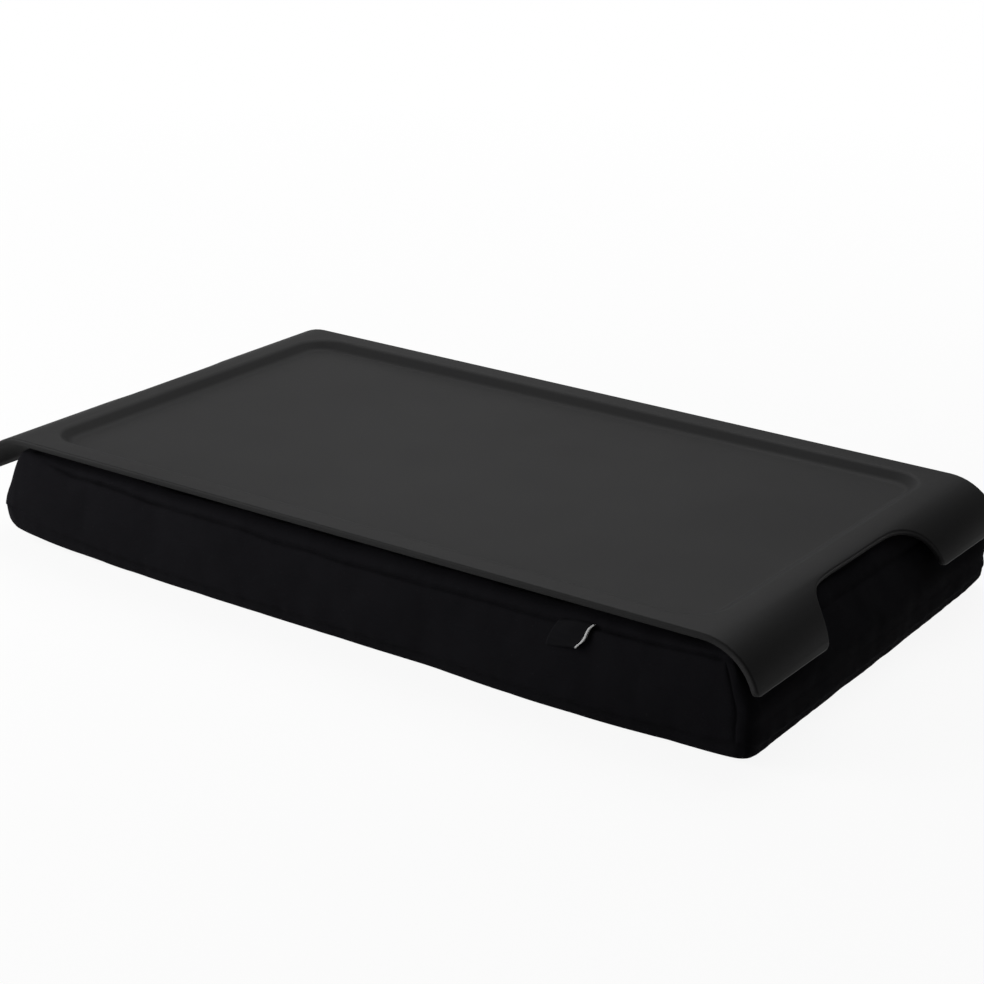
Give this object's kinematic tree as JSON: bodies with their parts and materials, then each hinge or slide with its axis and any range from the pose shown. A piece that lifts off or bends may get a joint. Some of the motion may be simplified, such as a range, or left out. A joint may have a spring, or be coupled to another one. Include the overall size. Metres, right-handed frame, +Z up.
{
  "type": "lap tray with cushion",
  "caption": "Lap tray: a moulded sheet with a shallow recess and turned-down handle ends, held by hook-and-loop on a boxed bead cushion with a zip.",
  "frame": {"origin": "under the middle of the tray, on the surface that the cushion lies on", "axes": "+X along the long side, +Y away from the user, +Z up"},
  "size_m": [0.4296, 0.2411, 0.052],
  "materials": {
    "tray_plastic": "matte",
    "cover_cloth": "matte",
    "hook_tape": "matte",
    "loop_tape": "matte",
    "label_ribbon": "satin",
    "liner_cloth": "matte",
    "beads": "matte",
    "zip_tape": "matte",
    "zip_teeth": "satin",
    "zip_metal": "satin"
  },
  "bodies": {
    "cushion": {"top_panel": "cover_cloth", "bottom_panel": "cover_cloth", "front_panel": "cover_cloth", "left_panel": "cover_cloth", "right_panel": "cover_cloth", "back_panel_upper": "cover_cloth", "back_panel_lower": "cover_cloth", "loop_strip_left": "loop_tape", "loop_strip_right": "loop_tape", "label": "label_ribbon", "liner_upper": "liner_cloth", "liner_lower": "liner_cloth", "bead_fill": "beads", "zip_tape_upper": "zip_tape", "zip_tape_lower": "zip_tape", "zip_teeth_upper": "zip_teeth", "zip_teeth_lower": "zip_teeth", "zip_end_stops": "zip_metal", "zip_start_stop": "zip_metal"},
    "tray": {"tray_shell": "tray_plastic", "hook_strip_left": "hook_tape", "hook_strip_right": "hook_tape"},
    "slider": {"zip_slider": "zip_metal"},
    "pull": {"zip_pull": "zip_metal"}
  },
  "joints": [
    {"name": "tray_lift", "type": "slide", "parent": "cushion", "child": "tray", "axis": [0, 0, 1], "range_m": [0, 0.1]},
    {"name": "zip_slide", "type": "slide", "parent": "cushion", "child": "slider", "axis": [-1, 0, 0], "range_m": [0, 0.286], "deforming": ["zip_teeth_upper", "zip_teeth_lower"]},
    {"name": "pull_swing", "type": "hinge", "parent": "slider", "child": "pull", "pos_m": [0.152, 0.11975, 0.02], "axis": [0, 0, 1], "range_deg": [-180, 0]}
  ]
}
